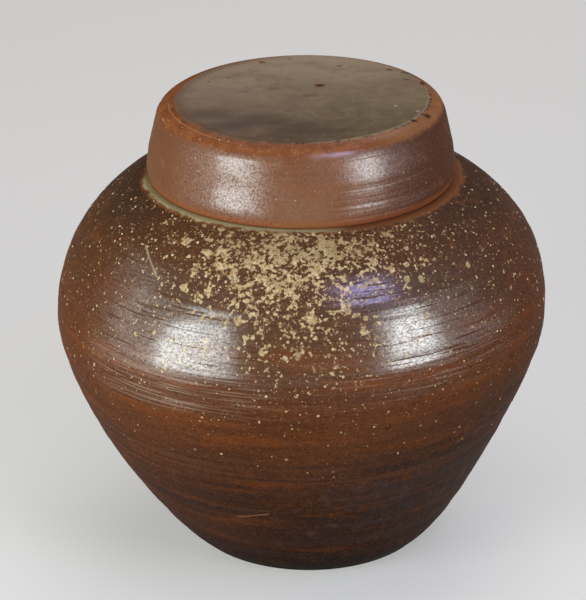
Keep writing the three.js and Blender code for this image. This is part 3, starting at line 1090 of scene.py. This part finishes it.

# %% [markdown]
# ## The pared top of the cap
#
# The pared disc is dry and grey-brown, with a dark smoky patch at the front left. It is painted paler
# towards the back, as painted light from behind and above.
# A rusty iron spot lies near its middle, smaller spots lie about, and chips run along its right edge. The
# edge between band and disc is a radius that noise makes ragged, more so at the left. Smoke and spots are
# blurred discs at listed places, because noise alone wouldn't put them where they belong.

# %% The tones of the pared disc
SMOKE = ((-30, -14, 13, 0.55), (-24, -25, 13, 0.6), (-14, -20, 14, 0.5), (2, -28, 20, 0.3))
tone_edge = DISC_RADIUS + 0.1 * MM
above = (z - x * TILT_RIGHT - y * TILT_BACK).rise(0.1500, 0.1506)
left_blur = (0 - sideways).rise(-0.2, 0.5)
ragged_edge = radius + (mottle - 0.5) * (0.0014 + left_blur * 0.003) - left_blur * 0.0010
on_disc = ragged_edge.fade(tone_edge - 0.2 * MM, tone_edge + 0.4 * MM) * above
pared = noise(place, 22 * MM, detail=4, roughness=0.6, squash=(1, 2.4, 1))
# painted light: the disc is painted paler towards the back, as light from behind and above would make it
painted_back_light = (y + (broad - 0.5) * 0.05).rise(-0.034, 0.036)
left_part = (0 - x + (pared - 0.5) * 0.05).rise(0.0, 0.034)
right_part = (x + (pared - 0.5) * 0.08).rise(0.002, 0.030)
disc_tone = layers(
    paint((104, 86, 65), painted_back_light, (172, 151, 124)),
    (left_part * 0.5, (154, 129, 110)),
    (right_part * 0.35, (136, 118, 84)),
    (pared.rise(0.46, 0.70) * 0.3, (112, 92, 74)),
    (mottle.rise(0.46, 0.74) * 0.25, (172, 150, 124)),
    (mottle.fade(0.26, 0.50) * 0.25, (100, 82, 64)),
    (grain.fade(0.32, 0.46) * 0.25, (92, 78, 66)),
)
for right, back, reach, strength in SMOKE:
    away = (x - right * MM).length_with((y - back * MM) * 1.6)
    smoke = (away + (pared - 0.5) * 0.012).fade(0.2 * reach * MM, reach * MM) * (0.4 + mottle)
    disc_tone = paint(disc_tone, smoke * strength, (80, 69, 61))
# painted highlight: a pale lip along the front and right of the disc's edge, where the light catches it
painted_lip_highlight = radius.rise(DISC_RADIUS - 0.9 * MM, DISC_RADIUS - 0.3 * MM) * sideways.rise(-0.2, 0.4)
left_border = radius.rise(0.0375, DISC_RADIUS) * left_blur
disc_tone = layers(disc_tone, (painted_lip_highlight * 0.6, (166, 140, 112)), (left_border * 0.45, (112, 76, 50)))
cap_ground = paint(skirt, on_disc, disc_tone)


# %% The spots on the top
def spot(centre, size):
    """1 in a small blotch round this place on the top of the cap, given in mm, and 0 away from it."""
    away = (x - centre[0] * MM).length_with((y - centre[1] * MM) * (size[0] / size[1]))
    reach = size[0] * MM
    return (away + (grain + mottle - 1.0) * reach).fade(reach * 0.4, reach) * above


RUST, BROWN, BLACK, WHITE, OCHRE = (96, 38, 28), (104, 64, 42), (34, 26, 22), (205, 190, 170), (100, 92, 68)
for centre, size, tone, strength in (
    ((5.0, 11.6), (2.2, 1.8), RUST, 0.95),
    ((-14.3, 34.5), (1.8, 1.8), RUST, 0.7),
    ((-4.7, 37.6), (1.1, 1.1), BLACK, 0.5),
    ((-31.2, 16.3), (0.9, 0.9), BLACK, 0.5),
    ((-24.9, 20.3), (1.6, 1.4), BROWN, 0.4),
    ((11.7, 29.7), (1.6, 1.4), BROWN, 0.7),
    ((28.1, 25.3), (1.7, 1.3), BROWN, 0.8),
    ((33.9, 22.2), (2.0, 1.0), BLACK, 0.8),
    ((33.3, 15.7), (1.6, 1.0), BROWN, 0.8),
    ((38.4, 11.8), (1.3, 2.6), RUST, 0.8),
    ((-9.9, 9.1), (3.0, 1.8), OCHRE, 0.5),
    ((3.0, 2.0), (3.4, 1.6), BROWN, 0.35),
    ((39.4, -16.4), (2.2, 1.8), BLACK, 0.8),
    ((34.6, -21.9), (1.6, 1.2), BLACK, 0.7),
    ((29.2, -8.6), (0.9, 0.7), WHITE, 0.8),
    ((36.0, -14.1), (0.8, 0.7), WHITE, 0.8),
):
    cap_ground = paint(cap_ground, spot(centre, size) * strength, tone)

# %% Chips, specks and the dry underside
chip_run = noise(place, 1.8 * MM, detail=3, roughness=0.6)
on_edge = radius.between(*[tone_edge + step * MM for step in (-0.6, -0.1, 0.2, 0.5)])
chips = on_edge * (chip_run + x * 4 - y * 1.5).rise(0.66, 0.74) * above
distance, luck, bulk = cells(place, 3.0 * MM)
specks = (distance - bulk ** 2.0 * 0.10).fade(0.0, 0.04) * (0.35 - luck).rise(0.0, 0.05)
under = radius.fade(0.0447, 0.0451) * z.fade(0.1475, 0.1490)
cap_ground = paint(paint(cap_ground, chips * 0.8, BLACK), specks * 0.6, (196, 172, 142))
cap_ground = paint(cap_ground, under, (170, 118, 84))

# %% [markdown]
# ## The gloss of the cap
#
# The skirt has the same sealed skin as the body, but hazier. The top and the underside are dry, and the band
# nearly so, apart from a stretch of it right of the middle. In a few places the skin is glossier. They are
# blurred patches that noise makes ragged, and they give the soft boxes' reflections their bright cores.

# %% The finish of the cap's surface
GLOSSY_PLACES = (
    (-29, 145.5, 9, 1.3, 0.27), (-26.5, 133.5, 9, 1.3, 0.30), (26, 144.8, 9, 1.3, 0.18),
    (5, 148.4, 4, 3, 0.6), (11, 148.8, 4, 3, 0.6), (17, 148.9, 4, 3, 0.6),
)
striae = noise(place, 50 * MM, detail=3, roughness=0.7, squash=(1, 1, 45))
hairlines = noise(place, 60 * MM, squash=(1, 1, 70))
scores = hairlines.fade(0.30, 0.35) * sideways.rise(0.0, 0.3)
bright_stretch = z.between(0.1478, 0.1479, 0.1492, 0.1500) * sideways.between(-0.05, 0.02, 0.36, 0.46)
dry = on_disc.greater(under).greater(band * 0.65 * (1 - bright_stretch))
lower_right = sideways.rise(0.05, 0.25) * z.fade(0.1390, 0.1415)
worn = 1 - lower_right * hairlines.fade(0.54, 0.60) * 0.65
ragged = noise(place, 6 * MM, detail=4, roughness=0.65)
gloss = 0.10
for angle, height, reach, flatness, strength in GLOSSY_PLACES:
    away = rightward(x, y, angle).length_with((z - height * MM) * flatness)
    glossy = (away + (ragged - 0.5) * (reach * 1.6 * MM)).fade(0, reach * MM)
    gloss = glossy * frontness.rise(0.2, 0.4) * strength + gloss
central = (sideways ** 2).fade(0.01, 0.12)
skin = gloss + sideways.rise(0.0, 0.3) * 0.10 + grain.rise(0.38, 0.62) * (0.44 - central * 0.26)
skin = skin * worn * (1 - dry) * (1 - scores * 0.8) * (0.03 + frontness.rise(0.45, 0.85) * 0.97)
relief = grain * 0.30 + striae * (0.10 + sideways.rise(0.0, 0.4) * 0.30) - scores * 0.1 + specks * 0.2
relief = relief - chips * 0.3 + noise(place, 1.8 * MM) * 0.20
finish_clay(cap_clay, cap_ground, 0.60 + dry * 0.15, relief, skin, haze=0.34)

# %% [markdown]
# ## The clay of the inner lid
#
# The flame never reached the inner lid, so it is paler, matt and even in colour. It has no skin.

# %% The inner lid's material
place = open_tree(inner_clay)
mottle = noise(place, 5 * MM, detail=3)
grain = noise(place, 0.8 * MM, roughness=0.6)
tone = layers(
    paint((160, 112, 80), noise(place, 24 * MM, detail=3).rise(0.35, 0.65), (178, 128, 94)),
    (mottle.rise(0.5, 0.7) * 0.3, (140, 96, 70)),
    (grain.fade(0.32, 0.42) * 0.4, (92, 62, 46)),
)
finish_clay(inner_clay, tone, 0.60 + grain * 0.2, grain * 0.2 + mottle * 0.15)

# %% [markdown]
# ## Ash and grit
#
# The crumbs are the same melted ash as the flecks, a little paler because they stand in the light. The grit
# on the cap is white sand that stuck to it in the kiln.

# %% The materials of the crumbs
for crumb, darker, paler, patches, low, high, roughness in (
    (ash_crust, (178, 140, 92), (226, 204, 162), 1.2 * MM, 0.38, 0.62, 0.55),
    (white_grit, (190, 168, 140), (226, 214, 196), 1.5 * MM, 0.35, 0.65, 0.5),
):
    place = open_tree(crumb)
    tone = paint(darker, noise(place, patches).rise(low, high), paler)
    finish_clay(crumb, tone, roughness + noise(place, 1 * MM) * 0.2, noise(place, 0.4 * MM) * 0.15)

# %% [markdown]
# ## The floor
#
# A plain pale floor keeps the jar's shadow. To the camera and in a reflection it looks paler than the light
# that it throws back on the jar, because a Light Path node tells those rays from the others. A floor that
# throws back as much as it seems to would light the underside of the belly too much.

# %% The floor
HALF_FLOOR = 6
floor_mesh = bpy.data.meshes.new("floor")
corners = [(u * HALF_FLOOR, v * HALF_FLOOR, 0) for u, v in ((-1, -1), (1, -1), (1, 1), (-1, 1))]
floor_mesh.from_pydata(corners, [], [(0, 1, 2, 3)])
floor = put_in_scene("floor", floor_mesh)
floor_material = bpy.data.materials.new("pale_floor")
camera_ray = open_tree(floor_material).node("ShaderNodeLightPath")
seen = camera_ray + camera_ray.beside("Is Glossy Ray") + camera_ray.beside("Is Transmission Ray")
feed(
    floor_material,
    Base_Color=paint((140, 139, 137), seen, (200, 199, 197)),
    Emission_Color=paint((0, 0, 0), seen, (150, 149, 147)),
    Emission_Strength=1.0,
    Roughness=0.9,
    Specular_IOR_Level=0.0,
)
floor_mesh.materials.append(floor_material)

# %% [markdown]
# ## The light
#
# Two soft boxes, one at each side in front, stand where their reflections fall on the belly and the skirt
# as in the photograph. Beside each stands a dim panel whose glow widens the reflection, and a spill from the
# far left lights the left side. A violet lamp, high at the right, gives the cool sheen above the right-hand
# reflection. Dim lamps behind and above lift the back and the top, and the sky is even and dim.

# %% The world
world = bpy.data.worlds.new("even_sky")
bpy.context.scene.world = world
world.use_nodes = True
fill(world.node_tree.nodes["Background"].inputs, Color=(1, 1, 1, 1), Strength=0.10)

# %% The lamps
AIM_HEIGHT = 0.09  # a lamp without a tilt of its own faces the jar's axis at this height


def soft_box(name, azimuth, distance, height, size, radiance, tint, tilt=None):
    """A rectangular lamp beside the jar. radiance is how bright its face looks, where 1 is white.

    It faces the jar, or is tilted this far back from upright."""
    lamp = bpy.data.lights.new(name, "AREA")
    lamp.shape = "RECTANGLE"
    lamp.size, lamp.size_y = size
    lamp.energy = radiance * math.pi * size[0] * size[1]
    lamp.color = tint
    box = put_in_scene(name, lamp)
    turn = math.radians(azimuth)
    box.location = (distance * math.sin(turn), -distance * math.cos(turn), height)
    facing = math.atan2(distance, height - AIM_HEIGHT) if tilt is None else math.radians(90 + tilt)
    box.rotation_euler = (facing, 0, turn)
    box.visible_camera = False
    print(name, "gives", round(lamp.energy, 3), "W")


soft_box("left_soft_box", -44, 0.43, 0.222, (0.205, 0.42), 6.2, (0.90, 1.0, 0.99), tilt=35)
soft_box("left_glow", -73, 0.48, 0.200, (0.27, 0.40), 0.8, (0.97, 1.0, 0.94), tilt=30)
soft_box("left_spill", -100, 0.60, 0.26, (0.45, 0.45), 0.7, (1.0, 0.97, 0.94))
soft_box("right_glow", 76, 0.50, 0.22, (0.22, 0.36), 0.35, (1.0, 0.96, 0.96), tilt=10)
soft_box("right_soft_box", 47.5, 0.50, 0.225, (0.19, 0.34), 6.5, (0.92, 0.98, 1.0), tilt=10)
soft_box("cool_lamp", 38, 0.62, 0.93, (0.34, 0.30), 5.0, (0.56, 0.54, 1.0))
soft_box("back_fill", 165, 1.1, 1.2, (1.2, 0.8), 2.2, (1.0, 0.98, 0.96))
soft_box("top_fill", 0, 0.12, 1.25, (0.7, 0.6), 1.5, (1.0, 0.98, 0.96))

# %% [markdown]
# ## The pieces and their bodies
#
# Each piece stands for its solid, whose part is hidden, and rides on that solid's body. The finish beside
# each is listed but not used here. Crumbs and grit stand for no solid. They only ride.

# %% Bodies, solids and slots
for piece, node, body, finish in (
    (jar_shell, "jar_body", "jar", "body_clay"),
    (cap_shell, "outer_lid", "outer_lid", "lid_clay"),
    (plug_shell, "inner_lid", "inner_lid", "inner_clay"),
    (ash_crumbs, None, "jar", "body_clay"),
    (cap_grit, None, "outer_lid", "lid_clay"),
):
    if node:
        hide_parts(node)
    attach(piece, body)

# %% The view settings
bpy.context.scene.view_settings.view_transform = "Standard"
